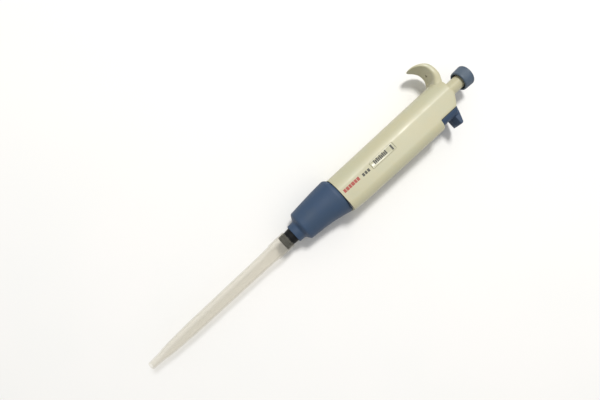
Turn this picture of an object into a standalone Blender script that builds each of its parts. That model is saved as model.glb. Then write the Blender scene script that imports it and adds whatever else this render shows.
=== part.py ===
"""A fixed-volume single-channel air-displacement pipette with its disposable tip, lying on its flank.

All lengths below are in millimetres. A station is a distance along the plunger axis, from the tip's
open end towards the push button. The model itself is in metres: +X runs from the tip to the button,
+Z is up from the bench, the finger hook points to +Y and the ejector's thumb ledge to -Y. The origin
is on the bench, under the plunger axis, half-way along the handle.
"""
import math

import bmesh
import bpy
from mathutils import Matrix, Vector

MM = 0.001
WELD = 0.00001
GAP = 0.3  # between pieces that touch on the real object
FIT = 0.4  # radial clearance of a piece that slides

# Driving dimensions
CAPACITY = 5000.0  # mm3, 5 ml
BORE_R = 11.0
ASPIRATE_STROKE = CAPACITY / (math.pi * BORE_R**2)
EJECT_STROKE = 7.5
HANDLE_START = 202.7
HANDLE_END = 318.5
HANDLE_MID = (HANDLE_START + HANDLE_END) / 2
HANDLE_HALF_DEPTH = 15.9
AXIS_HEIGHT = HANDLE_HALF_DEPTH
HOOK_SIDE = 13.2  # the handle's face towards the hook
EJECTOR_SIDE = -20.2  # the handle's face towards the ejector, at its upper end
LOWER_EJECTOR_SIDE = -18.4  # the same face at its lower end, where the handle narrows
CORNER_R = 7.2
RIDGE = 1.2  # where the flat flank turns into the rounded hook side
FLANK_FALL = 10  # degrees, how steeply the hook side leaves the ridge
WALL = 2.0

# Stations along the axis
CONE_END = 143.5
TIP_TOP = 149.6
TIP_COLLAR = 133.0
SLEEVE_END = 155.0
SLEEVE_SHOULDER = 164.0
SLEEVE_TOP = 202.4
SOCKET_DEPTH = 4.0  # of the rod's end in the sleeve's rim
SOCKET_FLOOR = 167.6
CONE_TOP = 174.3
BORE_FLOOR = 176.1
PISTON_FACE = 191.8
CYLINDER_TOP = 200.0
CAP_NECK_TOP = 214.0
CUP_BASE = 222.4
CUP_FLOOR = 224.4
CUP_RIM = 227.0
SEAT_FACE = 268.0
RIB_STATION = 246.0
RIB_DEPTH = 2.5
COLLAR_STATION = 283.0
STEM_START = 285.0
NUT_START = 289.0
NOTCH_START = 296.5
TOP_WALL = 312.5
LABEL_START = 233.5
LABEL_END = 257.0
BUTTON_START = 334.2
BUTTON_TOP = 343.4

# Radii
CYLINDER_R = 12.0
SLIDE_R = 12.35  # the sleeve's rim slides on the cylinder
NECK_R = 8.0
ROD_R = 2.5
ROD_HOLE = ROD_R + GAP
STEM_R = 5.4
TUBE_R = 10.5
TUBE_BORE = 9.0
EJECTOR_ROD_R = 1.1
EJECTOR_ROD_Y = -14.6
CHANNEL_Y = -12.6  # the ejector's channel and notch lie beyond this
LEDGE_END = -26.0  # the outer end of the thumb ledge
LABEL_LOW = -5.0
LABEL_HIGH = 0.9

# The plane that cuts the handle's upper corners, on the side of each flank
CORNER_CUT = (312.5, -12.3, 15.9)
CORNER_SLANT = (0.744, -0.513, 0.428)

COARSE = 20
ROUND = 28
SMOOTH = 36


# Scene, collections, bodies and materials


def clear_scene():
    for item in list(bpy.data.objects):
        bpy.data.objects.remove(item, do_unlink=True)


def new_collection(name):
    collection = bpy.data.collections.new(name)
    bpy.context.scene.collection.children.link(collection)
    return collection


def new_axis(name):
    """An empty on the plunger axis at mid-handle, which carries one moving group's pieces."""
    empty = bpy.data.objects.new(name, None)
    empty.location = (0, 0, AXIS_HEIGHT * MM)
    PARTS.objects.link(empty)
    return empty


def new_material(name, colour, roughness, metallic=0.0):
    material = bpy.data.materials.new(name)
    material.use_nodes = True
    shader = material.node_tree.nodes["Principled BSDF"]
    shader.inputs["Base Color"].default_value = (*colour, 1.0)
    shader.inputs["Roughness"].default_value = roughness
    shader.inputs["Metallic"].default_value = metallic
    return material


clear_scene()
PARTS = new_collection("pipette")
CUTTERS = new_collection("pipette_cutters")
HANDLE = new_axis("handle_axis")
BLOWOUT = new_axis("blowout_axis")
PLUNGER = new_axis("plunger_axis")
EJECTOR = new_axis("ejector_axis")
TIP = new_axis("tip_axis")

CREAM = new_material("cream_plastic", (0.72, 0.68, 0.50), 0.42)
BLUE = new_material("blue_plastic", (0.10, 0.17, 0.31), 0.45)
NAVY = new_material("navy_plastic", (0.05, 0.10, 0.22), 0.42)
BLACK = new_material("black_plastic", (0.02, 0.02, 0.025), 0.5)
GREY = new_material("grey_plastic", (0.35, 0.35, 0.36), 0.5)
CLEAR = new_material("tip_plastic", (0.80, 0.80, 0.77), 0.3)
STEEL = new_material("steel", (0.60, 0.60, 0.62), 0.25, 1.0)
BRASS = new_material("brass", (0.70, 0.52, 0.22), 0.3, 1.0)
RUBBER = new_material("rubber", (0.03, 0.03, 0.03), 0.8)
PTFE = new_material("ptfe", (0.85, 0.85, 0.83), 0.5)
FILTER = new_material("filter_foam", (0.85, 0.84, 0.78), 0.9)
LABEL = new_material("label_print", (0.70, 0.66, 0.50), 0.5)


# Shape tools


def along(station):
    """The X position in millimetres of a station."""
    return station - HANDLE_MID


def finish_piece(name, mesh, body, material, angle=35):
    piece = bpy.data.objects.new(name, mesh)
    PARTS.objects.link(piece)
    piece.parent = body
    mesh.materials.append(material)
    mesh.shade_smooth()
    mesh.set_sharp_from_angle(angle=math.radians(angle))
    return piece


def profile_mesh(name, profile, closed):
    """A chain of edges from (radius, height) points, in the XZ plane."""
    form = bmesh.new()
    points = [form.verts.new((r * MM, 0, h * MM)) for r, h in profile]
    for first, second in zip(points, points[1:]):
        form.edges.new((first, second))
    if closed:
        form.edges.new((points[-1], points[0]))
    mesh = bpy.data.meshes.new(name)
    form.to_mesh(mesh)
    form.free()
    return mesh


def turned(name, profile, body, material, steps=ROUND, offset=(0, 0)):
    """A turned piece from (radius, station) points, down the outer side and then up the bore."""
    on_axis = profile[0][0] == 0 and profile[-1][0] == 0
    start = profile[0][1]
    local = [(r, station - start) for r, station in profile]
    piece = finish_piece(name, profile_mesh(name, local, not on_axis), body, material)
    piece.location = (along(start) * MM, offset[0] * MM, offset[1] * MM)
    piece.rotation_euler = (0, math.pi / 2, 0)
    screw = piece.modifiers.new("turn", "SCREW")
    screw.axis = "Z"
    screw.steps = steps
    screw.render_steps = steps
    screw.use_merge_vertices = True
    screw.merge_threshold = WELD
    return piece


def ring(name, inner, outer, start, end, body, material, steps=ROUND):
    """A plain ring or tube between two stations."""
    profile = [(outer, end), (outer, start), (inner, start), (inner, end)]
    return turned(name, profile, body, material, steps)


def disc(name, radius, start, end, body, material, steps=ROUND):
    """A plain solid cylinder between two stations."""
    profile = [(0, end), (radius, end), (radius, start), (0, start)]
    return turned(name, profile, body, material, steps)


def o_ring(name, middle, thickness, station, body, steps=ROUND):
    """A torus of round section about the axis."""
    sides = 8
    turns = [2 * math.pi * side / sides for side in range(sides)]
    profile = [
        (middle + thickness / 2 * math.cos(turn), station - thickness / 2 * math.sin(turn))
        for turn in turns
    ]
    return turned(name, profile, body, RUBBER, steps)


def curve_to_mesh(curve, name):
    """The closed mesh of a curve, with its caps welded."""
    guide = bpy.data.objects.new(name, curve)
    PARTS.objects.link(guide)
    graph = bpy.context.evaluated_depsgraph_get()
    mesh = bpy.data.meshes.new_from_object(guide.evaluated_get(graph))
    bpy.data.objects.remove(guide, do_unlink=True)
    form = bmesh.new()
    form.from_mesh(mesh)
    bmesh.ops.remove_doubles(form, verts=form.verts, dist=WELD)
    bmesh.ops.recalc_face_normals(form, faces=form.faces)
    form.to_mesh(mesh)
    form.free()
    mesh.name = name
    return mesh


def prism_mesh(name, outline, depth):
    """A flat outline, thickened equally to both sides of its plane."""
    curve = bpy.data.curves.new(name, "CURVE")
    curve.dimensions = "2D"
    curve.fill_mode = "BOTH"
    curve.extrude = depth / 2 * MM
    spline = curve.splines.new("POLY")
    spline.points.add(len(outline) - 1)
    for point, (u, v) in zip(spline.points, outline):
        point.co = (u * MM, v * MM, 0, 1)
    spline.use_cyclic_u = True
    return curve_to_mesh(curve, name)


def section_prism(name, outline, start, end):
    """A mesh with a (y, z) outline that runs along the axis between two stations."""
    mesh = prism_mesh(name, outline, end - start)
    turn = Matrix(((0, 0, 1), (1, 0, 0), (0, 1, 0))).to_4x4()
    place = Matrix.Translation((along((start + end) / 2) * MM, 0, 0))
    mesh.transform(place @ turn)
    return mesh


def side_prism(name, outline, half_width):
    """A mesh with a (station, y) outline that runs across the mid-plane."""
    points = [(along(station), y) for station, y in outline]
    return prism_mesh(name, points, 2 * half_width)


def skin_mesh(name, outlines):
    """A closed skin through rings with equal numbers of (station, y, z) points."""
    form = bmesh.new()
    rings = []
    for outline in outlines:
        places = [Vector((along(station), y, z)) * MM for station, y, z in outline]
        rings.append([form.verts.new(place) for place in places])
    for low, high in zip(rings, rings[1:]):
        for index, point in enumerate(low):
            following = (index + 1) % len(low)
            form.faces.new((point, low[following], high[following], high[index]))
    form.faces.new(rings[0])
    form.faces.new(rings[-1])
    bmesh.ops.recalc_face_normals(form, faces=form.faces)
    mesh = bpy.data.meshes.new(name)
    form.to_mesh(mesh)
    form.free()
    return mesh


def loft_mesh(name, sections):
    """A closed skin through (station, outline) sections with equal numbers of (y, z) points."""
    return skin_mesh(name, [[(station, y, z) for y, z in outline] for station, outline in sections])


def cylinder_mesh(name, radius, start, end, y=0.0, z=0.0, segments=SMOOTH):
    """A cylinder along the axis direction between two stations."""
    form = bmesh.new()
    turn = Matrix.Rotation(math.pi / 2, 4, "Y")
    place = Matrix.Translation((along((start + end) / 2) * MM, y * MM, z * MM))
    bmesh.ops.create_cone(
        form,
        cap_ends=True,
        segments=segments,
        radius1=radius * MM,
        radius2=radius * MM,
        depth=(end - start) * MM,
        matrix=place @ turn,
    )
    mesh = bpy.data.meshes.new(name)
    form.to_mesh(mesh)
    form.free()
    return mesh


def box_mesh(name, stations, ys, zs):
    """A box between two stations, two y and two z values."""
    form = bmesh.new()
    low = Vector((along(stations[0]), ys[0], zs[0])) * MM
    high = Vector((along(stations[1]), ys[1], zs[1])) * MM
    scale = Matrix.Diagonal((*(high - low), 1))
    bmesh.ops.create_cube(form, size=1, matrix=Matrix.Translation((low + high) / 2) @ scale)
    mesh = bpy.data.meshes.new(name)
    form.to_mesh(mesh)
    form.free()
    return mesh


def corner_mesh(name, side):
    """A block beyond the plane that slants across one upper corner of the handle."""
    size = 40
    slant = Vector((CORNER_SLANT[0], CORNER_SLANT[1], side * CORNER_SLANT[2])).normalized()
    point = Vector((along(CORNER_CUT[0]), CORNER_CUT[1], side * CORNER_CUT[2]))
    turn = slant.to_track_quat("Z", "Y").to_matrix().to_4x4()
    place = Matrix.Translation((point + slant * size / 2) * MM)
    form = bmesh.new()
    bmesh.ops.create_cube(form, size=size * MM, matrix=place @ turn)
    mesh = bpy.data.meshes.new(name)
    form.to_mesh(mesh)
    form.free()
    return mesh


def shape_with(target, mesh, operation="DIFFERENCE"):
    """Cut a mesh out of a piece, or join it to the piece."""
    cutter = bpy.data.objects.new(mesh.name, mesh)
    CUTTERS.objects.link(cutter)
    cutter.parent = target.parent
    cutter.hide_render = True
    cutter.display_type = "WIRE"
    boolean = target.modifiers.new(mesh.name, "BOOLEAN")
    boolean.operation = operation
    boolean.object = cutter


def spring(name, middle, wire, start, end, turns, body, y=0.0, per_turn=10):
    """A compression spring: closed flat end coils and open turns between."""
    closed = 1.0
    total = turns + 2 * closed
    count = int(total * per_turn) + 1
    pitch = (end - start - wire - 2 * closed * wire * 1.15) / turns
    rise = wire * 1.15
    curve = bpy.data.curves.new(name, "CURVE")
    curve.dimensions = "3D"
    curve.bevel_depth = wire / 2 * MM
    curve.bevel_resolution = 1
    curve.use_fill_caps = True
    spline = curve.splines.new("POLY")
    spline.points.add(count - 1)
    for index, point in enumerate(spline.points):
        turn = total * index / (count - 1)
        low = min(turn, closed) * rise
        open_part = min(max(turn - closed, 0), turns) * pitch
        high = max(turn - closed - turns, 0) * rise
        station = start + wire / 2 + low + open_part + high
        angle = 2 * math.pi * turn
        side = y + middle * math.cos(angle)
        point.co = (along(station) * MM, side * MM, middle * math.sin(angle) * MM, 1)
    return finish_piece(name, curve_to_mesh(curve, name), body, STEEL)


# Outlines of the handle's section


def arc(centre, radius, start, end, steps):
    """Points on an arc, with its angles in degrees."""
    angles = [math.radians(start + (end - start) * i / steps) for i in range(steps + 1)]
    return [(centre[0] + radius * math.cos(t), centre[1] + radius * math.sin(t)) for t in angles]


def bezier(a, b, c, d, steps):
    """Points on a cubic curve, without its end."""
    points = []
    for step in range(steps):
        t = step / steps
        weights = ((1 - t) ** 3, 3 * t * (1 - t) ** 2, 3 * t**2 * (1 - t), t**3)
        corners = list(zip(weights, (a, b, c, d)))
        points.append(tuple(sum(w * p[k] for w, p in corners) for k in (0, 1)))
    return points


def handle_section(inset=0.0, ejector_side=EJECTOR_SIDE):
    """The (y, z) outline of the handle, or of a shape inside it by inset."""
    top = HANDLE_HALF_DEPTH - inset
    side = HOOK_SIDE - inset
    corner = (ejector_side + CORNER_R, HANDLE_HALF_DEPTH - CORNER_R)
    rounded = arc(corner, CORNER_R - inset, 90, 180, 5)
    fall = math.radians(FLANK_FALL)
    reach = 0.71 * (side - RIDGE)
    leaving = (RIDGE + reach * math.cos(fall), top - reach * math.sin(fall))
    hook_side = bezier((side, 0), (side, 0.72 * top), leaving, (RIDGE, top), 6)
    upper = hook_side + [(RIDGE, top)] + rounded
    lower = [(y, -z) for y, z in reversed(upper) if z > WELD]
    return upper + lower


def oval_section(hook_half, ejector_half, half_depth, squareness):
    """An outline that reaches further to the ejector's side than to the hook's."""
    points = []
    for step in range(SMOOTH):
        turn = 2 * math.pi * step / SMOOTH
        across, up = math.cos(turn), math.sin(turn)
        half = hook_half if across > 0 else ejector_half
        y = math.copysign(half * abs(across) ** (2 / squareness), across)
        z = math.copysign(half_depth * abs(up) ** (2 / squareness), up)
        points.append((y, z))
    return points


def clip_beyond(outline, limit):
    """The part of an outline whose first coordinate is below limit."""
    kept = []
    for here, there in zip(outline, outline[1:] + outline[:1]):
        if here[0] <= limit:
            kept.append(here)
        if (here[0] - limit) * (there[0] - limit) < 0:
            share = (limit - here[0]) / (there[0] - here[0])
            kept.append((limit, here[1] + share * (there[1] - here[1])))
    return kept


def clip_before(outline, limit):
    """The part of an outline whose first coordinate is above limit."""
    mirrored = [(-y, z) for y, z in outline]
    return [(-y, z) for y, z in clip_beyond(mirrored, -limit)]


# The handle and what is fixed in it


def hook_section(inner, outer, half_width):
    """The hook's section between a (station, y) point on its concave face and one on its back."""
    sides = 16
    squareness = 5.0
    ring = []
    for side in range(sides):
        turn = 2 * math.pi * (side + 0.5) / sides
        u, v = math.cos(turn), math.sin(turn)
        share = 0.5 + 0.5 * math.copysign(abs(u) ** (2 / squareness), u)
        z = half_width * math.copysign(abs(v) ** (2 / squareness), v)
        ring.append((*(a + share * (b - a) for a, b in zip(inner, outer)), z))
    return ring


def hook_mesh():
    """The finger hook, from its wide root in the handle to its thin tip. Each row is a (station, y)
    point on the concave face, one on the back, and the half width there."""
    rows = [
        ((310.6, 2.0), (316.8, 1.0), 13.4),
        ((311.0, 7.4), (318.9, 6.6), 13.0),
        ((313.0, 11.6), (321.3, 10.6), 12.2),
        ((316.6, 14.9), (323.4, 14.4), 10.9),
        ((318.3, 18.4), (324.1, 18.7), 9.9),
        ((318.6, 21.6), (323.9, 22.7), 9.4),
        ((318.0, 25.4), (322.5, 26.7), 9.1),
        ((316.0, 28.6), (319.4, 30.0), 8.6),
        ((313.6, 30.8), (315.4, 32.4), 7.6),
        ((311.4, 32.2), (312.2, 33.6), 5.8),
        ((309.3, 33.1), (309.8, 34.1), 3.2),
    ]
    return skin_mesh("hook_form", [hook_section(*row) for row in rows])


def make_handle():
    """The one-piece handle moulding, with its finger hook, mechanism bore and ejector channel."""
    flare = [(HANDLE_START, LOWER_EJECTOR_SIDE), (207.0, -19.0), (216.0, -19.5), (262.0, -19.9)]
    flare.append((HANDLE_END, EJECTOR_SIDE))
    sections = [(station, handle_section(0, side)) for station, side in flare]
    handle = finish_piece("handle_body", loft_mesh("handle_body", sections), HANDLE, CREAM, 25)
    inner = handle_section(WALL)
    lower_inner = handle_section(1.6, LOWER_EJECTOR_SIDE)
    shape_with(handle, hook_mesh(), "UNION")
    lower = section_prism("lower_cavity", lower_inner, HANDLE_START - 2, RIB_STATION)
    shape_with(handle, lower)
    middle = section_prism("middle_cavity", inner, RIB_STATION + RIB_DEPTH, STEM_START + 1)
    shape_with(handle, middle)
    upper = section_prism("upper_cavity", clip_before(inner, -11.2), STEM_START, TOP_WALL)
    shape_with(handle, upper)
    channel = section_prism("channel", clip_beyond(inner, CHANNEL_Y), STEM_START, HANDLE_END + 2)
    shape_with(handle, channel)
    rib_bore = cylinder_mesh("rib_bore", TUBE_R + GAP, RIB_STATION - 1, RIB_STATION + 4)
    shape_with(handle, rib_bore)
    slot = ((RIB_STATION - 1, RIB_STATION + 4), (-16.8, -9.0), (-1.5, 1.5))
    shape_with(handle, box_mesh("rib_slot", *slot))
    notch = ((NOTCH_START, HANDLE_END + 3), (EJECTOR_SIDE - 3, CHANNEL_Y), (-18, 18))
    shape_with(handle, box_mesh("notch", *notch))
    bevel = [(HANDLE_END + 0.1, -8.8), (316.4, -14), (HANDLE_END + 6, -14), (HANDLE_END + 6, -8.8)]
    shape_with(handle, side_prism("top_slope", bevel, 18))
    for side in (-1, 1):
        shape_with(handle, corner_mesh("handle_corner", side))
    shape_with(handle, cylinder_mesh("bush_seat", 8.3, TOP_WALL - 1, HANDLE_END + 3))
    shape_with(handle, cylinder_mesh("button_relief", 8.8, HANDLE_END + 0.1, HANDLE_END + 4))
    recess = (
        (LABEL_START - GAP, LABEL_END + GAP),
        (LABEL_LOW - GAP, LABEL_HIGH + GAP),
        (HANDLE_HALF_DEPTH - 0.4, HANDLE_HALF_DEPTH + 1),
    )
    shape_with(handle, box_mesh("label_recess", *recess))
    shape_with(handle, cylinder_mesh("hook_hole", 1.0, 314.0, 321.0, y=20.8, segments=12))
    return handle


def make_label():
    depths = (HANDLE_HALF_DEPTH - 0.1, HANDLE_HALF_DEPTH + 0.15)
    plate = ((LABEL_START, LABEL_END), (LABEL_LOW, LABEL_HIGH), depths)
    finish_piece("label_plate", box_mesh("label_plate", *plate), HANDLE, LABEL)


def make_base_plate():
    """The plate that closes the handle's lower end and guides the ejector rod."""
    outline = handle_section(1.6 + GAP, LOWER_EJECTOR_SIDE)
    mesh = section_prism("base_plate", outline, HANDLE_START, HANDLE_START + 3.2)
    plate = finish_piece("base_plate", mesh, HANDLE, GREY)
    ends = (HANDLE_START - 2, HANDLE_START + 5)
    shape_with(plate, cylinder_mesh("plate_bore", NECK_R + GAP, *ends))
    rod_hole = EJECTOR_ROD_R + GAP
    hole = cylinder_mesh("plate_rod_hole", rod_hole, *ends, y=EJECTOR_ROD_Y, segments=12)
    shape_with(plate, hole)


def make_fixed_mechanism():
    """The tube round the plunger, with its nuts and the bush that guides the button's stem."""
    nut_start = HANDLE_START + 3.5
    nut_end = nut_start + 4.8
    ring("coupling_nut", NECK_R + GAP, 10.6, nut_start, nut_end, HANDLE, BRASS, ROUND)
    tube_start = nut_end + GAP
    tube_end = TOP_WALL - GAP
    ledge = CUP_RIM + GAP
    tube = [
        (TUBE_R, tube_end),
        (TUBE_R, tube_start),
        (TUBE_BORE, tube_start),
        (TUBE_BORE, ledge),
        (NECK_R, ledge),
        (NECK_R, ledge + 2),
        (TUBE_BORE, ledge + 2),
        (TUBE_BORE, tube_end),
    ]
    turned("mechanism_tube", tube, HANDLE, GREY)
    ring("calibration_nut", STEM_R + FIT, TUBE_BORE - GAP, NUT_START, 295.5, HANDLE, BRASS)
    ring("stem_bush", STEM_R + 0.35, 8.0, TOP_WALL + GAP, HANDLE_END - 0.1, HANDLE, BLACK)


def make_cylinder():
    """The piston's cylinder and the cap that joins it to the handle."""
    cylinder = [
        (CYLINDER_R, CYLINDER_TOP),
        (CYLINDER_R, CONE_TOP + 1.2),
        (CYLINDER_R - 0.8, CONE_TOP + GAP),
        (7.0, CONE_TOP + GAP),
        (7.0, SOCKET_FLOOR + 2),
        (3.0, SOCKET_FLOOR + 2),
        (3.0, BORE_FLOOR),
        (BORE_R, BORE_FLOOR),
        (BORE_R, CYLINDER_TOP),
    ]
    turned("cylinder", cylinder, HANDLE, GREY)
    cap = [
        (NECK_R, CAP_NECK_TOP),
        (NECK_R, SLEEVE_TOP),
        (CYLINDER_R, SLEEVE_TOP),
        (CYLINDER_R, CYLINDER_TOP + GAP),
        (ROD_R + FIT, CYLINDER_TOP + GAP),
        (ROD_R + FIT, CAP_NECK_TOP),
    ]
    turned("cylinder_cap", cap, HANDLE, GREY)


def make_tip_cone():
    """The black nose that the tip is pushed onto, with its seal and its filter."""
    cone = [
        (10.3, CONE_TOP),
        (10.3, 167.0),
        (6.4, 163.5),
        (6.25, 158.0),
        (6.1, 144.4),
        (5.6, CONE_END),
        (4.3, CONE_END),
        (4.3, 150.6),
        (2.0, 151.6),
        (2.0, SOCKET_FLOOR),
        (7.3, SOCKET_FLOOR),
        (7.3, CONE_TOP),
    ]
    turned("tip_cone", cone, HANDLE, BLACK)
    o_ring("cone_o_ring", 5.0, 1.4, SOCKET_FLOOR + 1, HANDLE)
    disc("nozzle_filter", 4.0, CONE_END + 0.5, 150.3, HANDLE, FILTER)


# The blow-out stage


def make_blowout_stage():
    """The cup that the plunger meets at its first stop, on its stiffer spring."""
    cup = [
        (8.6, CUP_RIM),
        (8.6, CUP_BASE),
        (ROD_HOLE, CUP_BASE),
        (ROD_HOLE, CUP_FLOOR),
        (7.7, CUP_FLOOR),
        (7.7, CUP_RIM),
    ]
    turned("blowout_cup", cup, BLOWOUT, STEEL)
    spring("blowout_spring", 5.2, 1.2, CAP_NECK_TOP + GAP, CUP_BASE - GAP, 2.5, BLOWOUT)


# The plunger


def make_piston():
    """The piston, its seal on an O-ring, and the disc and screw that hold them."""
    seal_low = PISTON_FACE + 1.8
    seal_high = seal_low + 3.0
    piston = [
        (0, seal_high + 1.8),
        (10.4, seal_high + 1.8),
        (10.4, seal_high),
        (8.0, seal_high),
        (8.0, seal_low + GAP),
        (1.7, seal_low + GAP),
        (1.7, seal_high),
        (0, seal_high),
    ]
    turned("piston", piston, PLUNGER, GREY)
    ring("piston_seal", 9.7, 10.7, seal_low + GAP, seal_high - GAP, PLUNGER, PTFE)
    o_ring("piston_o_ring", 8.85, 1.1, (seal_low + seal_high) / 2, PLUNGER)
    retainer = [
        (10.4, seal_low),
        (10.4, PISTON_FACE),
        (2.9, PISTON_FACE),
        (2.9, PISTON_FACE + 1.1),
        (1.7, PISTON_FACE + 1.1),
        (1.7, seal_low),
    ]
    turned("seal_retainer", retainer, PLUNGER, GREY)
    screw = [
        (0, seal_high - GAP),
        (1.4, seal_high - GAP),
        (1.4, PISTON_FACE + 0.8),
        (2.6, PISTON_FACE + 0.8),
        (2.6, PISTON_FACE + 0.1),
        (0, PISTON_FACE + 0.1),
    ]
    turned("piston_screw", screw, PLUNGER, STEEL, COARSE)


def make_plunger_rod():
    """The rod with its first-stop collar, and the seat and ring that carry the main spring."""
    rod_start = PISTON_FACE + 6.6 + GAP
    disc("plunger_rod", ROD_R, rod_start, 296.5, PLUNGER, STEEL, COARSE)
    collar = CUP_FLOOR + ASPIRATE_STROKE + GAP
    ring("stop_collar", ROD_HOLE, 5.4, collar, collar + 2.5, PLUNGER, BRASS, COARSE)
    ring("spring_seat", ROD_HOLE, 7.4, SEAT_FACE, SEAT_FACE + 2, PLUNGER, STEEL)
    ring("seat_clip", ROD_HOLE, 4.2, SEAT_FACE + 2.3, SEAT_FACE + 3.1, PLUNGER, STEEL, COARSE)
    spring("plunger_spring", 6.6, 1.0, CUP_FLOOR + GAP, SEAT_FACE - GAP, 8, PLUNGER)


def make_button():
    """The stem that comes out of the handle, and the ribbed push button on it."""
    stem_top = BUTTON_START + 5.4
    stem = [
        (0, stem_top),
        (STEM_R - 0.4, stem_top),
        (STEM_R, stem_top - 0.4),
        (STEM_R, STEM_START + 3),
        (7.4, STEM_START + 3),
        (7.4, STEM_START),
        (ROD_HOLE, STEM_START),
        (ROD_HOLE, 296.8),
        (0, 296.8),
    ]
    turned("button_stem", stem, PLUNGER, CREAM)
    button = [
        (7.7, BUTTON_TOP - 0.4),
        (8.3, BUTTON_TOP - 0.5),
        (8.7, BUTTON_TOP - 1.2),
        (8.3, BUTTON_START + 0.5),
        (7.8, BUTTON_START),
        (6.8, BUTTON_START),
        (6.8, BUTTON_START + 2.2),
        (STEM_R + GAP, BUTTON_START + 2.2),
        (STEM_R + GAP, stem_top + GAP),
        (0, stem_top + GAP),
    ]
    crown = [(0, BUTTON_TOP - 1.6), (7.7, BUTTON_TOP - 1.6)]
    turned("push_button", crown + button, PLUNGER, BLUE, SMOOTH)
    cap = [
        (0, BUTTON_TOP),
        (6.9, BUTTON_TOP),
        (7.4, BUTTON_TOP - 0.4),
        (7.4, BUTTON_TOP - 1.3),
        (0, BUTTON_TOP - 1.3),
    ]
    turned("button_cap", cap, PLUNGER, BLUE, SMOOTH)


# The ejector


def ledge_outline(underside, corner, z):
    """The thumb ledge's outline at a depth z, from its sloped top round to its underside."""
    points = [(316.6, -14.0)]
    points += arc((310.9, LEDGE_END + 2.0), 2.0, -18, -90, 4)
    points += arc((underside + corner, LEDGE_END + corner), corner, -90, -180, 4)
    points.append((underside, -14.0))
    return [(station, y, z) for station, y in points]


def make_ejector_button():
    """The block in the handle's channel with the thumb ledge on it."""
    outline = clip_beyond(handle_section(WALL + GAP), CHANNEL_Y - GAP)
    mesh = section_prism("ejector_button", outline, NOTCH_START - 2.5, 317.0)
    button = finish_piece("ejector_button", mesh, EJECTOR, NAVY)
    for side in (-1, 1):
        shape_with(button, corner_mesh("button_corner", side))
    underside = NOTCH_START + EJECT_STROKE + 4.2
    levels = ((-7.6, 2.0), (-5.0, 1.0), (-2.0, 0.0), (2.0, 0.0), (5.0, 1.0), (7.6, 2.0))
    ledge = [ledge_outline(underside + rise, 2.6 - 0.9 * rise, z) for z, rise in levels]
    shape_with(button, skin_mesh("ledge", ledge), "UNION")
    slope = [(316.9, -12.0), (312.4, -28.0), (322.0, -28.0), (322.0, -12.0)]
    shape_with(button, side_prism("button_slope", slope, 20))
    socket = EJECTOR_ROD_R + GAP
    hole = cylinder_mesh("button_socket", socket, 290, 306, y=EJECTOR_ROD_Y, segments=12)
    shape_with(button, hole)


def make_ejector_rod():
    """The rod from the thumb button to the sleeve's rim, with its return spring."""
    rod_end = SLEEVE_TOP - SOCKET_DEPTH + GAP
    rod = [
        (0, 305.7),
        (EJECTOR_ROD_R, 305.7),
        (EJECTOR_ROD_R, rod_end),
        (0, rod_end),
    ]
    offset = (EJECTOR_ROD_Y, 0)
    turned("ejector_rod", rod, EJECTOR, STEEL, 12, offset)
    bore = EJECTOR_ROD_R + GAP
    collar = [
        (2.5, COLLAR_STATION + 2),
        (2.5, COLLAR_STATION),
        (bore, COLLAR_STATION),
        (bore, COLLAR_STATION + 2),
    ]
    turned("ejector_collar", collar, EJECTOR, STEEL, COARSE, offset)
    low = RIB_STATION + RIB_DEPTH + GAP
    high = COLLAR_STATION - GAP
    spring("ejector_spring", 2.1, 0.7, low, high, 9, EJECTOR, EJECTOR_ROD_Y, 8)


def make_ejector_sleeve():
    """The blue sleeve over the cylinder: a neck that pushes the tip off, a cone, and a wider rim
    on the ejector's side that holds the end of the rod."""
    sizes = [
        (SLEEVE_END, 7.5, 7.5, 7.5, 2.0),
        (SLEEVE_END + 0.4, 7.8, 7.8, 7.8, 2.0),
        (SLEEVE_SHOULDER - 3.4, 8.0, 8.0, 8.0, 2.0),
        (SLEEVE_SHOULDER - 2.8, 8.5, 8.5, 8.5, 2.0),
        (SLEEVE_SHOULDER - 0.7, 12.6, 12.0, 12.1, 2.0),
        (SLEEVE_SHOULDER + 0.3, 13.4, 12.4, 12.6, 2.0),
        (176.0, 14.4, 13.3, 13.4, 2.05),
        (187.0, 15.2, 14.6, 14.4, 2.1),
        (194.0, 15.5, 16.0, 15.0, 2.2),
        (199.0, 15.7, 17.2, 15.5, 2.3),
        (200.2, 15.4, 17.6, 15.4, 2.3),
        (201.4, 14.4, 17.8, 15.0, 2.3),
        (SLEEVE_TOP, 13.1, 17.7, 14.6, 2.3),
    ]
    outer = [(size[0], oval_section(*size[1:])) for size in sizes]
    mesh = loft_mesh("ejector_sleeve", outer)
    sleeve = finish_piece("ejector_sleeve", mesh, EJECTOR, BLUE)
    bores = [
        (SLEEVE_END - 2, 6.9),
        (SLEEVE_SHOULDER - 2.0, 6.9),
        (SLEEVE_SHOULDER + 1.6, 11.2),
        (176.0, 12.15),
        (192.0, 13.3),
        (195.0, 13.3),
        (196.5, SLIDE_R),
        (SLEEVE_TOP + 2, SLIDE_R),
    ]
    inner = [(station, oval_section(r, r, r, 2.0)) for station, r in bores]
    shape_with(sleeve, loft_mesh("sleeve_bore", inner))
    ends = (SLEEVE_TOP - SOCKET_DEPTH, SLEEVE_TOP + 2)
    radius = EJECTOR_ROD_R + GAP
    socket = cylinder_mesh("rod_socket", radius, *ends, y=EJECTOR_ROD_Y, segments=12)
    shape_with(sleeve, socket)


# The disposable tip


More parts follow.
